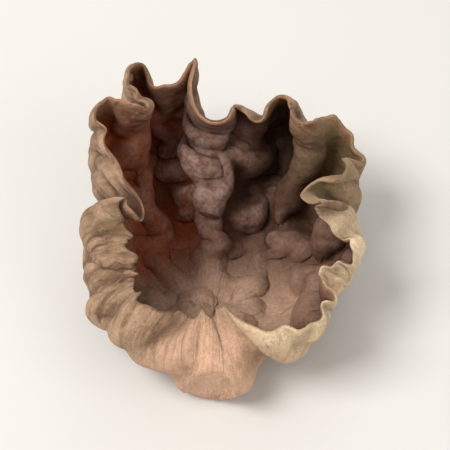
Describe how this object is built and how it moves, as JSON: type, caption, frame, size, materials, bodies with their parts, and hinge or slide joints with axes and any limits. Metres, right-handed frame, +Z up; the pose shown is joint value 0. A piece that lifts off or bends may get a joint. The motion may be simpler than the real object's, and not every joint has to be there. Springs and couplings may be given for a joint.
{
  "type": "dried wood ear mushroom",
  "caption": "Single dried wood ear mushroom: a thin crumpled cup with an inrolled rim and a short cut foot, lying hollow side up.",
  "frame": {"origin": "bottom centre of the ear's bounding box, on the surface it lies on", "axes": "+Z up out of the hollow; +Y from the foot towards the far, folded side; +X to the right when seen from the foot's side"},
  "size_m": [0.025, 0.03, 0.0169],
  "materials": {
    "dried_flesh": "matte"
  },
  "bodies": {
    "root": {"ear": "dried_flesh"}
  },
  "joints": []
}
